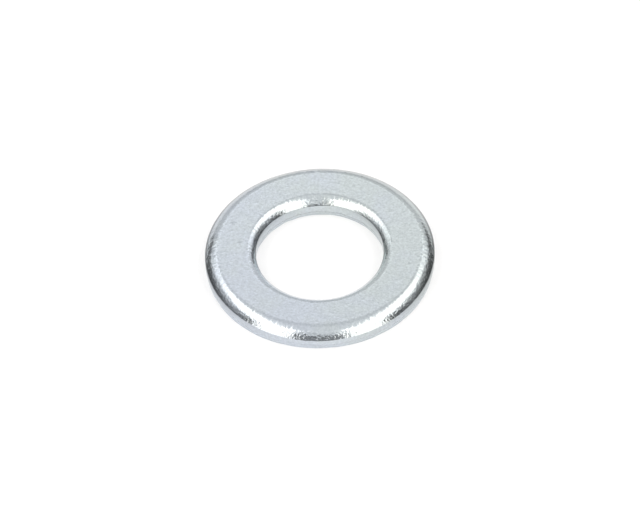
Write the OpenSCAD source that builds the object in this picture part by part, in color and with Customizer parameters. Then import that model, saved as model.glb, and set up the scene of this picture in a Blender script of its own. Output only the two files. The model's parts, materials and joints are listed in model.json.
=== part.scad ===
// Flat washer for an M10 bolt, punched from steel strip in one stroke and zinc plated.
//
// The punch rolls the strip's top face down into both edges, shears a smooth upright wall
// below each roll, and tears the last of the thickness, which draws back a little.
// Tumbling before plating rounds the bottom corners.
//
// The washer lies on its bottom face at Z = 0, with the hole's axis along +Z.

/* [Washer] */
// Outside diameter
outer_d = 20; // [19:0.1:22]
// Diameter of the bolt hole, across its smooth wall
hole_d = 11.1; // [10.5:0.1:12]
// Thickness, from the bottom face to the flat of the top face
thickness = 2; // [1.7:0.05:2.3]

/* [Rolled edge at the rim] */
// How far the roll reaches in from the rim
rim_roll_w = 1.3; // [1:0.05:2]
// How far the roll drops below the top face
rim_roll_d = 0.76; // [0.4:0.02:0.9]
// Slope of the roll where it meets the wall, in degrees from level
rim_roll_slope = 58; // [50:1:80]

/* [Rolled edge at the hole] */
// How far the roll reaches out from the wall of the hole
hole_roll_w = 0.9; // [0.6:0.05:1.2]
// How far the roll drops below the top face
hole_roll_d = 0.5; // [0.3:0.02:0.6]
// Slope of the roll where it meets the wall, in degrees from level
hole_roll_slope = 46; // [46:1:80]

/* [Sheared walls] */
// Height of the torn band at the foot of each wall
tear_h = 0.5; // [0.2:0.05:0.7]
// How far the torn band draws back by the bottom face
tear_back = 0.05; // [0.02:0.01:0.12]
// Radius that tumbling leaves on the bottom corners
corner_r = 0.08; // [0.04:0.01:0.12]

/* [Hidden] */

rim_r = outer_d / 2;
hole_r = hole_d / 2;
roll_steps = 24;
corner_steps = 4;
turn_facets = 240;

// Half-section points of a roll, from the flat of the top face down to its wall. The curve is
// a parabola that leaves the top face level and meets the wall at the given slope.
// wall_r is the wall's radius, and out is 1 where the wall faces outward and -1 where it faces the axis.
function roll(wall_r, out, w, d, slope) = [
    for (i = [0 : roll_steps])
        let (
            s = i / roll_steps,
            bend = d / tan(slope),
            inset = w * pow(1 - s, 2) + bend * 2 * s * (1 - s)
        )
        [wall_r - out * inset, thickness - d * s * s]
];

// Half-section points of a torn band and its bottom corner, from the wall down to the bottom face.
function tear(wall_r, out) = [
    [wall_r, tear_h],
    for (i = [0 : corner_steps])
        let (turn = 90 * i / corner_steps)
        [
            wall_r - out * (tear_back + corner_r * (1 - cos(turn))),
            corner_r * (1 - sin(turn))
        ]
];

function reversed(points) = [for (i = [len(points) - 1 : -1 : 0]) points[i]];

// Half-section of the washer: rim side down, hole side up.
function section() = concat(
    roll(rim_r, 1, rim_roll_w, rim_roll_d, rim_roll_slope),
    tear(rim_r, 1),
    reversed(tear(hole_r, -1)),
    reversed(roll(hole_r, -1, hole_roll_w, hole_roll_d, hole_roll_slope))
);

module washer() {
    color([0.79, 0.82, 0.84])
        rotate_extrude($fn = turn_facets)
            polygon(section());
}

washer();
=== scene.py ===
"""A zinc-plated flat washer on a pale floor, in the soft light of a product-photo table.

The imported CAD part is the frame. The washer's visible mesh replaces the CAD node: it has the
same sizes, with the uneven rolls, torn edges, streaks and small dents of a punched part.
"""

import json
import math
import random
from types import SimpleNamespace

import bpy
import numpy as np
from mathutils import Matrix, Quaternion, Vector, noise


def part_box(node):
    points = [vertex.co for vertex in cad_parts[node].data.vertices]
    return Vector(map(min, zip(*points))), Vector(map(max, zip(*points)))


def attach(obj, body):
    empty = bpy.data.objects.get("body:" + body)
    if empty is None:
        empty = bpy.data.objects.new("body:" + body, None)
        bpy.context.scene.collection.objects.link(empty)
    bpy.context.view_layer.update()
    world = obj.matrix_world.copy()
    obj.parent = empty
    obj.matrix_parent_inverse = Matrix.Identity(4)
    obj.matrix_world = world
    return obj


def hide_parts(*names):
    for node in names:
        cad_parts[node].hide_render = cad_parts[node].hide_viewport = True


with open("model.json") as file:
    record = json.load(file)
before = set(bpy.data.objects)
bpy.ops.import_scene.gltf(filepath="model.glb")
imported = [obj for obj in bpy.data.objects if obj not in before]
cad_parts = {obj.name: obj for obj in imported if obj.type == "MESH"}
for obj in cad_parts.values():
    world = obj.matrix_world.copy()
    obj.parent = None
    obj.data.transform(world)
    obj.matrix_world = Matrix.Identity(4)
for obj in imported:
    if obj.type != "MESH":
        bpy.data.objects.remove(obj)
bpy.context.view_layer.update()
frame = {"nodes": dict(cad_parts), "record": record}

MM = 0.001
NODE = "washer"
TURNS = 720  # steps round the washer
CEILING = 1.2  # height of the overhead panels
RIM_SLOPE, HOLE_SLOPE = 58, 46  # how steep each roll is where it meets its wall, in degrees
CORNER = 0.08 * MM  # radius of the bottom corners
TORN_SHARE = 0.4  # the torn band's share of how far a foot draws back


# ---------------------------------------------------------------- sizes, from the frame

def washer_sizes():
    """The washer's sizes in metres, measured on the CAD node and on its bolt hole."""
    snap = 0.002 * MM
    low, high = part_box(NODE)
    points = [v.co for v in frame["nodes"][NODE].data.vertices]
    spans = [(math.hypot(p.x, p.y), p.z) for p in points]
    hole = next(m for m in frame["record"]["mounts"] if m["name"] == "bolt_hole")
    half_wall = hole["dims"]["length_mm"] * MM / 2
    size = SimpleNamespace()
    size.top = high.z
    size.rim_r = (high.x - low.x) / 2
    size.hole_r = hole["dims"]["r_mm"] * MM
    size.tear_top = hole["pos_m"][2] - half_wall
    size.hole_wall_top = hole["pos_m"][2] + half_wall
    size.rim_wall_top = max(z for r, z in spans if r > size.rim_r - snap)
    size.flat_in = min(r for r, z in spans if z > size.top - snap)
    size.flat_out = max(r for r, z in spans if z > size.top - snap)
    size.foot_in = min(r for r, z in spans if z < snap)
    size.foot_out = max(r for r, z in spans if z < snap)
    return size


# ---------------------------------------------------------------- the washer's mesh

def wave(turn, cycles, seed):
    """Smooth noise from -1 to 1 round the washer, with about that many swells."""
    reach = cycles / 4
    return np.array([
        noise.noise(Vector((math.cos(t) * reach, math.sin(t) * reach, seed))) for t in turn
    ])


def run(start, end, steps):
    """Evenly spaced shares of the way along one stretch of the half-section, without its end."""
    return [start + (end - start) * i / steps for i in range(steps)]


def roll(share, edge, flat_z):
    """A point on a rolled edge: share 0 is at the flat, and 1 is at the top of the wall."""
    drop = flat_z - edge.wall_top
    bend_r = edge.wall_r + np.sign(edge.flat_r - edge.wall_r) * drop / np.tan(np.radians(edge.slope))
    near, middle, far = (1 - share) ** 2, 2 * share * (1 - share), share ** 2
    return near * edge.flat_r + middle * bend_r + far * edge.wall_r, flat_z - far * drop


def torn(share, edge):
    """A point on a torn band: share 0 is at the foot of the wall, and 1 at the bottom corner."""
    inset = edge.wall_r + (edge.foot_r - edge.wall_r) * TORN_SHARE * share
    return inset, edge.tear_top + (CORNER - edge.tear_top) * share


def corner_turn(share, edge):
    """A point on the rounded bottom corner: share 0 is on the torn band, and 1 on the bottom."""
    angle = share * math.pi / 2
    start = edge.wall_r + (edge.foot_r - edge.wall_r) * TORN_SHARE
    return start + (edge.foot_r - start) * (1 - math.cos(angle)), CORNER * (1 - math.sin(angle))


def ease(value, start, end):
    """0 before start and 1 after end, with a smooth rise between."""
    share = min(1.0, max(0.0, (value - start) / (end - start)))
    return share * share * (3 - 2 * share)


def swell(turn, bearing, spread):
    """1 at one bearing, fading to 0 on both sides. Bearings are in degrees from +X towards +Y."""
    away = (np.degrees(turn) - bearing + 180) % 360 - 180
    return np.exp(-(away / spread) ** 2)


def roll_finish(share):
    """How burnished and how streaked a roll is, at that share of the way from flat to wall."""
    return ease(share, 0.3, 0.8), ease(share, 0.0, 0.15) - 0.9 * ease(share, 0.3, 0.7)


def rim_edge(size, turn):
    """The rim's radii, heights, slope and painted shade at every turn."""
    sides = swell(turn, 172, 30) + swell(turn, 8, 30)
    # The punch sat a little off centre, so each roll is deeper on one side.
    deep = swell(turn, 268, 45)
    # The fine teeth were left where the strip started to draw over the edge.
    teeth = (0.05 + 0.06 * sides) * wave(turn, 190, 31.4)
    edge = SimpleNamespace(wall_r=size.rim_r)
    edge.flat_r = size.flat_out + MM * (0.06 * wave(turn, 14, 1.3) + teeth)
    edge.wall_top = size.rim_wall_top + 0.03 * MM * wave(turn, 10, 7.1) - 0.22 * MM * deep
    edge.slope = RIM_SLOPE - 11 + 16 * deep
    edge.tear_top = size.tear_top + 0.10 * MM * wave(turn, 22, 12.8)
    edge.foot_r = size.foot_out + MM * (0.09 * wave(turn, 34, 18.6) - 0.06)
    # Painted shade: the rim's colour is darkened to stand in for dark reflections, most at the sides and
    # least at the front.
    edge.rub = 0.7 + 0.55 * sides - 0.65 * swell(turn, 268, 60)
    return edge


def hole_edge(size, turn):
    """The hole's radii, heights, slope and painted shade at every turn."""
    deep = swell(turn, 105, 45)
    edge = SimpleNamespace(wall_r=size.hole_r)
    edge.flat_r = size.flat_in + MM * (0.04 * wave(turn, 12, 4.7) + 0.06 * wave(turn, 120, 36.2))
    edge.wall_top = size.hole_wall_top + 0.03 * MM * wave(turn, 9, 9.4) - 0.24 * MM * deep
    edge.slope = HOLE_SLOPE + 8 * deep
    edge.tear_top = size.tear_top + 0.10 * MM * wave(turn, 18, 15.2)
    edge.foot_r = size.foot_in - MM * (0.13 * wave(turn, 26, 21.9) - 0.09)
    # Painted shade: the hole's edge is darkened to stand in for dark reflections, except at its back.
    edge.rub = 1 - swell(turn, 90, 50)
    return edge


def flat_ring(share, start_r, end_r, height):
    return start_r + (end_r - start_r) * share, height, 0.0, 0.0, 0.0, 0.0


def wall_ring(share, edge, rub):
    """A ring on the smooth wall: share 0 is at its top, and 1 at the top of the torn band."""
    return edge.wall_r, edge.wall_top + (edge.tear_top - edge.wall_top) * share, 0.5, 0.3, 0.0, rub


def torn_ring(share, edge):
    return (*torn(share, edge), 0.4, 0.0, 1 - 0.75 * share, 0.0)


def corner_ring(share, edge):
    return (*corner_turn(share, edge), 0.4, 0.0, 0.25 * (1 - share), 0.0)


def half_sections(size, turn):
    """The half-section at every turn, as rings of (radius, height, burnish, streak, tear, rub).

    burnish is 1 where the punch polished the metal and 0 where the strip's own surface shows.
    streak is 1 where the metal was drawn over the edge, and tear is 1 at the top of the torn bands.
    rub is painted shade, a darker colour that stands in for dark reflections, on the sharp tops of the
    walls and on the roll at the rim's back.
    """
    rim, hole = rim_edge(size, turn), hole_edge(size, turn)
    back = swell(turn, 90, 55)
    rings = [flat_ring(s, hole.flat_r, rim.flat_r, size.top) for s in run(0, 1, 28)]
    for s in run(0, 1, 32):
        # Painted shade: the outer end of the rim's roll is darkened to stand in for dark reflections, and
        # the roll at the rim's back is dimmed as well.
        back_painted_shade = back * (0.45 * ease(s, 0.15, 0.4) + 0.3 * ease(s, 0.5, 0.7))
        rub = rim.rub * ease(s, 0.72, 1.0) + back_painted_shade
        rings.append((*roll(s, rim, size.top), *roll_finish(s), 0.0, rub))
    rings += [wall_ring(s, rim, rim.rub * (1 - s)) for s in run(0, 1, 8)]
    rings += [torn_ring(s, rim) for s in run(0, 1, 9)]
    rings += [corner_ring(s, rim) for s in run(0, 1, 5)]
    rings += [flat_ring(s, rim.foot_r, hole.foot_r, 0.0) for s in run(0, 1, 12)]
    rings += [corner_ring(s, hole) for s in run(1, 0, 5)]
    rings += [torn_ring(s, hole) for s in run(1, 0, 9)]
    rings += [wall_ring(s, hole, hole.rub * (1 - s) ** 2) for s in run(1, 0, 8)]
    # Painted shade on the outer end of the hole's roll.
    for s in run(1, 0, 22):
        rub = hole.rub * ease(s, 0.84, 1.0)
        rings.append((*roll(s, hole, size.top), *roll_finish(s), 0.0, rub))
    return rings


def speckle(spots, seed):
    """Perlin noise from -1 to 1 at each spot of an array (..., 3), with swells about 1 across."""
    flat = spots.reshape(-1, 3) + seed
    return np.array([noise.noise(spot) for spot in flat.tolist()]).reshape(spots.shape[:-1])


def dent_depth(points, top):
    """How deep the small dents of tumbling are at each point of the upper side, in metres."""
    dents = [  # bearing in degrees, radius, width and depth in mm
        (156, 8.1, 0.13, 0.042), (172, 7.0, 0.12, 0.030), (65, 7.7, 0.10, 0.018),
        (64, 9.1, 0.10, 0.020), (343, 8.1, 0.12, 0.022), (300, 7.2, 0.08, 0.016),
    ]
    chance = random.Random(11)
    for _ in range(26):
        dents.append((chance.uniform(0, 360), chance.uniform(6.6, 9.2), chance.uniform(0.06, 0.14),
                      chance.uniform(0.004, 0.014)))
    depth = np.zeros(points.shape[:-1])
    upper = points[..., 2] > 0.5 * top
    for bearing, radius, width, deep in dents:
        x = radius * math.cos(math.radians(bearing)) * MM
        y = radius * math.sin(math.radians(bearing)) * MM
        away = np.hypot(points[..., 0] - x, points[..., 1] - y) / (width * MM)
        depth += upper * deep * MM * np.exp(-away * away)
    return depth


def relief(points, turn, drawn, size, burnish, streak, tear):
    """How far each point lies below the smooth surface: grain, streaks, torn lumps and dents."""
    grain = 0.5 + 0.5 * speckle(points / (0.17 * MM), 3.1)
    lines = speckle(drawn * (6.2, 6.2, 2.6), 8.7)
    lumps = 0.5 + 0.5 * speckle(points / (0.75 * MM), 15.3)
    crumbs = 0.5 + 0.5 * speckle(points / (0.22 * MM), 23.9)
    # The rolls are roughest at the front of the rim and at the back of the hole.
    coarse = swell(turn, 270, 17) + swell(turn, 88, 13)
    polished = np.maximum(0, 2 * burnish - 1)
    # These depths are in mm. The first, 0.010, keeps the flats and the walls inside the CAD box.
    depth = 0.010 + 0.002 * grain + (0.006 + 0.026 * coarse) * grain * polished
    depth += (0.012 + 0.010 * coarse) * lines * streak
    depth += (0.085 * lumps + 0.03 * crumbs) * tear
    return depth * MM + dent_depth(points, size.top)


def sink(radius, height, depth):
    """Move every point of the closed half-sections that far inwards, square to the surface."""
    run_r = np.roll(radius, -1, 0) - np.roll(radius, 1, 0)
    run_z = np.roll(height, -1, 0) - np.roll(height, 1, 0)
    length = np.hypot(run_r, run_z)
    return radius + depth * run_z / length, height - depth * run_r / length


def ring_points(radius, height, turn):
    return np.stack([radius * np.cos(turn), radius * np.sin(turn), height], axis=-1)


def add_attribute(mesh, name, values):
    """Store one number, or one vector, per point for the material to read."""
    if values.ndim == 3:
        mesh.attributes.new(name, "FLOAT_VECTOR", "POINT").data.foreach_set("vector", values.ravel())
    else:
        mesh.attributes.new(name, "FLOAT", "POINT").data.foreach_set("value", values.ravel())


def build_washer(size):
    """The washer as one closed ring of quads."""
    turn = np.arange(TURNS) * 2 * math.pi / TURNS
    rings = half_sections(size, turn)
    count = len(rings)
    radius, height, burnish, streak, tear, rub = (
        np.array([np.broadcast_to(ring[k], TURNS) for ring in rings], float) for k in range(6)
    )
    steps = np.hypot(np.diff(radius.mean(1)), np.diff(height.mean(1)))
    along = np.concatenate([[0], np.cumsum(steps)])[:, None]
    # Metal is drawn straight down over an edge, so this map's third axis runs along the half-section.
    drawn = ring_points(np.full((count, TURNS), size.rim_r), along + 0 * radius, turn) / MM

    depth = relief(ring_points(radius, height, turn), turn, drawn, size, burnish, streak, tear)
    points = ring_points(*sink(radius, height, depth), turn)
    points[..., 2] = np.maximum(points[..., 2], 0)

    i = np.arange(count)[:, None]
    j = np.arange(TURNS)[None, :]
    here, ahead = i * TURNS + j, i * TURNS + (j + 1) % TURNS
    below, diagonal = (i + 1) % count * TURNS + j, (i + 1) % count * TURNS + (j + 1) % TURNS
    faces = np.stack([here, below, diagonal, ahead], axis=-1).reshape(-1, 4)

    mesh = bpy.data.meshes.new("washer_body")
    mesh.from_pydata(points.reshape(-1, 3).tolist(), [], faces.tolist())
    mesh.update()
    mesh.shade_smooth()
    # One of these attributes carries the painted shade for the material's colour.
    for name, values in (("burnish", burnish), ("tear", tear), ("rub", rub), ("drawn", drawn)):
        add_attribute(mesh, name, values)

    piece = bpy.data.objects.new("washer_body", mesh)
    bpy.context.scene.collection.objects.link(piece)
    return piece


# ---------------------------------------------------------------- materials

def new_material(name):
    """An empty node material, with its tree, its shader and a function that adds a node.

    That function takes a node's sockets by name, or by number after an underscore.
    """
    material = bpy.data.materials.new(name)
    material.use_nodes = True
    tree = material.node_tree
    tree.nodes.clear()
    output = tree.nodes.new("ShaderNodeOutputMaterial")
    shader = tree.nodes.new("ShaderNodeBsdfPrincipled")
    tree.links.new(shader.outputs["BSDF"], output.inputs["Surface"])

    def add(kind, settings=None, **inputs):
        made = tree.nodes.new("ShaderNode" + kind)
        for key, value in (settings or {}).items():
            setattr(made, key, value)
        for key, value in inputs.items():
            socket = made.inputs[int(key[1:])] if key[1:].isdigit() else made.inputs[key]
            if isinstance(value, bpy.types.NodeSocket):
                tree.links.new(value, socket)
            else:
                socket.default_value = value
        return made

    return material, tree, shader, add


def passivated_colour(add, place, fine, rub):
    """Zinc that turns from bluish to greenish across the washer, in faint patches with a fine grain,
    darkened by painted shade.
    """
    cloud = add("TexNoise", Vector=place, Scale=260.0, Detail=3.0, Roughness=0.6)
    across = add("VectorMath", {"operation": "DOT_PRODUCT"}, _0=place, _1=(18.0, 10.0, 0.0))
    patch = add("Math", {"operation": "ADD"}, _0=cloud.outputs["Fac"], _1=across.outputs["Value"])
    tint = add("ValToRGB", Fac=patch.outputs["Value"])
    bluish, greenish = tint.color_ramp.elements
    bluish.position, greenish.position = 0.3, 0.7
    bluish.color = (0.575, 0.620, 0.682, 1)
    greenish.color = (0.572, 0.622, 0.632, 1)
    mottle = add("MapRange", Value=fine, _1=0.3, _2=0.7, _3=0.93, _4=1.06).outputs["Result"]
    # Painted shade: the base colour is darkened here to stand in for dark reflections.
    shade = add("Math", {"operation": "MULTIPLY_ADD"}, _0=rub, _1=-0.55, _2=mottle).outputs["Value"]
    colour = add("VectorMath", {"operation": "SCALE"}, _0=tint.outputs["Color"], Scale=shade)
    return colour.outputs["Vector"]


def grain_and_streaks(add, drawn, fine, burnish):
    """A normal with the finest grain and the drawn streaks. Both are stronger on the rolls."""
    stretch = add("VectorMath", {"operation": "MULTIPLY"}, _0=drawn, _1=(6.0, 6.0, 1.5))
    streak = add("TexNoise", Vector=stretch.outputs["Vector"], Scale=1.0, Detail=3.0, Roughness=0.6)
    grain_share = add("MapRange", Value=burnish, _3=0.12, _4=0.5).outputs["Result"]
    streak_share = add("MapRange", Value=burnish, _3=0.05, _4=0.25).outputs["Result"]
    grain = add("Math", {"operation": "MULTIPLY"}, _0=fine, _1=grain_share)
    streaks = add("Math", {"operation": "MULTIPLY"}, _0=streak.outputs["Fac"], _1=streak_share)
    bumps = add("Math", {"operation": "ADD"}, _0=grain.outputs["Value"], _1=streaks.outputs["Value"])
    bump = add("Bump", Strength=1.0, Distance=0.035 * MM, Height=bumps.outputs["Value"])
    return bump.outputs["Normal"]


def zinc_plate():
    """Bright zinc over steel, a little glossier on the rolls and rougher on the torn bands."""
    material, tree, shader, add = new_material("zinc_plate")
    place = add("TexCoord").outputs["Object"]
    drawn = add("Attribute", {"attribute_name": "drawn"}).outputs["Vector"]
    burnish = add("Attribute", {"attribute_name": "burnish"}).outputs["Fac"]
    tear = add("Attribute", {"attribute_name": "tear"}).outputs["Fac"]
    # This attribute carries the painted shade that darkens the colour.
    rub = add("Attribute", {"attribute_name": "rub"}).outputs["Fac"]
    fine = add("TexNoise", Vector=place, Scale=5200.0, Detail=1.0, Roughness=0.5).outputs["Fac"]

    gloss = add("MapRange", Value=burnish, _3=0.22, _4=0.18).outputs["Result"]
    rough = add("Math", {"operation": "MULTIPLY_ADD"}, _0=tear, _1=0.15, _2=gloss)
    tree.links.new(passivated_colour(add, place, fine, rub), shader.inputs["Base Color"])
    tree.links.new(grain_and_streaks(add, drawn, fine, burnish), shader.inputs["Normal"])
    tree.links.new(rough.outputs["Value"], shader.inputs["Roughness"])
    shader.inputs["Metallic"].default_value = 1.0
    return material


def pale_floor():
    """A matte white table top, faintly uneven and softly lit from below."""
    material, tree, shader, add = new_material("pale_floor")
    place = add("TexCoord").outputs["Object"]
    cloud = add("TexNoise", Vector=place, Scale=30.0, Detail=2.0)
    tint = add("ValToRGB", Fac=cloud.outputs["Fac"])
    tint.color_ramp.elements[0].color = (0.57, 0.57, 0.58, 1)
    tint.color_ramp.elements[1].color = (0.59, 0.59, 0.60, 1)
    tree.links.new(tint.outputs["Color"], shader.inputs["Base Color"])
    shader.inputs["Roughness"].default_value = 0.9
    shader.inputs["Specular IOR Level"].default_value = 0.1
    shader.inputs["Emission Color"].default_value = (1.0, 1.0, 1.0, 1)
    shader.inputs["Emission Strength"].default_value = 0.42
    return material


# ---------------------------------------------------------------- studio

def link(name, data):
    made = bpy.data.objects.new(name, data)
    bpy.context.scene.collection.objects.link(made)
    return made


def add_floor():
    """The table top, a hair below the washer so that the two surfaces don't coincide."""
    reach, gap = 3.0, 0.01 * MM
    mesh = bpy.data.meshes.new("floor")
    corners = [(-reach, -reach, -gap), (reach, -reach, -gap), (reach, reach, -gap), (-reach, reach, -gap)]
    mesh.from_pydata(corners, [], [(0, 1, 2, 3)])
    mesh.materials.append(pale_floor())
    floor = link("floor", mesh)


def panel(name, place, towards, width, height, radiance, tone):
    """A soft box: a flat light of even brightness, where 1 is the brightness of white paper."""
    light = bpy.data.lights.new(name, "AREA")
    light.shape = "RECTANGLE"
    light.size, light.size_y = width, height
    light.energy = radiance * math.pi * width * height
    light.color = tone
    made = link(name, light)
    made.location = place
    made.rotation_mode = "QUATERNION"
    made.rotation_quaternion = (Vector(towards) - Vector(place)).to_track_quat("-Z", "Y")
    made.visible_camera = False


def standing_panel(name, bearing, distance, width, bottom, top, radiance, tone=(1, 1, 1)):
    """An upright panel facing the washer. bearing is in degrees from +Y, clockwise from above."""
    a = math.radians(bearing)
    middle = (bottom + top) / 2
    place = (distance * math.sin(a), distance * math.cos(a), middle)
    panel(name, place, (0, 0, middle), width, top - bottom, radiance, tone)


def ceiling_panel(name, left, right, front, back, radiance, tone=(1, 1, 1)):
    """A panel facing down, CEILING above the floor. Its edges are in ceiling heights from the middle."""
    x, y = (left + right) / 2 * CEILING, (front + back) / 2 * CEILING
    width, depth = (right - left) * CEILING, (back - front) * CEILING
    panel(name, (x, y, CEILING), (x, y, 0), width, depth, radiance, tone)


def add_lights():
    """Two soft boxes overhead and two tall ones at the camera's sides, with pale cards between them.

    The spill panels are the dimmer outer and rear parts of the overhead boxes.
    """
    bright, warm = 2.1, (1.0, 0.97, 0.91)
    ceiling_panel("strip_box_left", -1.42, -0.50, -0.90, 0.55, bright, warm)
    ceiling_panel("strip_box_right", 0.48, 1.42, -0.90, 0.60, bright, warm)
    ceiling_panel("spill_left", -1.90, -1.42, -0.70, 1.10, 0.95)
    ceiling_panel("spill_right", 1.42, 1.85, -0.70, 1.10, 0.85)
    ceiling_panel("spill_back_left", -1.42, -0.52, 0.55, 1.20, 1.25)
    ceiling_panel("spill_back_right", 0.54, 1.42, 0.60, 1.20, 1.25)
    ceiling_panel("top_card_front", -0.48, 0.48, -2.25, 0.10, 0.84)
    ceiling_panel("top_card_back", -0.48, 0.48, 0.10, 1.20, 0.73)
    standing_panel("tall_box_left", -136, 1.2, 0.76, 0.0, 1.35, bright, warm)
    standing_panel("tall_box_right", 142, 1.2, 0.80, 0.0, 1.35, bright, warm)
    standing_panel("side_card_left", -75, 2.4, 2.8, 0.72, 1.15, 0.45)
    standing_panel("side_card_right", 73, 2.4, 2.8, 0.85, 1.15, 0.4)
    standing_panel("corner_card_left", -47, 1.9, 0.68, 0.55, 1.19, 0.7)
    standing_panel("corner_card_right", 45, 1.9, 0.68, 0.55, 1.19, 0.65)
    standing_panel("back_card", 0, 1.2, 1.75, 0.0, 1.3, 0.68)
    standing_panel("front_card", 180, 1.5, 1.2, 0.0, 0.48, 0.22)


def add_world():
    """A dim room for the washer to reflect, with a white backdrop that only the camera sees."""
    room_grey, backdrop_grey = 0.10, 0.95
    world = bpy.data.worlds.new("studio")
    bpy.context.scene.world = world
    world.use_nodes = True
    tree = world.node_tree
    room = tree.nodes["Background"]
    room.inputs["Color"].default_value = (room_grey, room_grey, room_grey, 1)
    backdrop = tree.nodes.new("ShaderNodeBackground")
    backdrop.inputs["Color"].default_value = (backdrop_grey, backdrop_grey, backdrop_grey, 1)
    path = tree.nodes.new("ShaderNodeLightPath")
    mix = tree.nodes.new("ShaderNodeMixShader")
    tree.links.new(path.outputs["Is Camera Ray"], mix.inputs[0])
    tree.links.new(room.outputs[0], mix.inputs[1])
    tree.links.new(backdrop.outputs[0], mix.inputs[2])
    tree.links.new(mix.outputs[0], tree.nodes["World Output"].inputs["Surface"])


def add_camera(size):
    """A long lens, looking down at the washer from the front, tipped a little to the right."""
    elevation, tip = math.radians(48.2), math.radians(-2.6)
    lens, sensor = 600.0, 36.0
    width_share = 0.359  # the washer's width, as a share of the picture's
    off_left, off_down = 0.02 * MM, 0.11 * MM  # how far the picture's middle is from the origin
    data = bpy.data.cameras.new("camera")
    data.lens, data.sensor_width = lens, sensor
    distance = lens * 2 * size.rim_r / (sensor * width_share)
    back = Vector((0, -math.cos(elevation), math.sin(elevation)))
    camera = link("camera", data)
    camera.rotation_mode = "QUATERNION"
    camera.rotation_quaternion = (-back).to_track_quat("-Z", "Y") @ Quaternion((0, 0, 1), tip)
    right = camera.rotation_quaternion @ Vector((1, 0, 0))
    up = camera.rotation_quaternion @ Vector((0, 1, 0))
    camera.location = back * distance - right * off_left - up * off_down
    data.clip_start, data.clip_end = 0.01, 10.0
    bpy.context.scene.camera = camera


# ---------------------------------------------------------------- scene

size = washer_sizes()
add_camera(size)
add_lights()
add_world()
add_floor()

washer = build_washer(size)
washer.data.materials.append(zinc_plate())
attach(washer, "root")
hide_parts(NODE)

view = bpy.context.scene.view_settings
view.view_transform = "Standard"
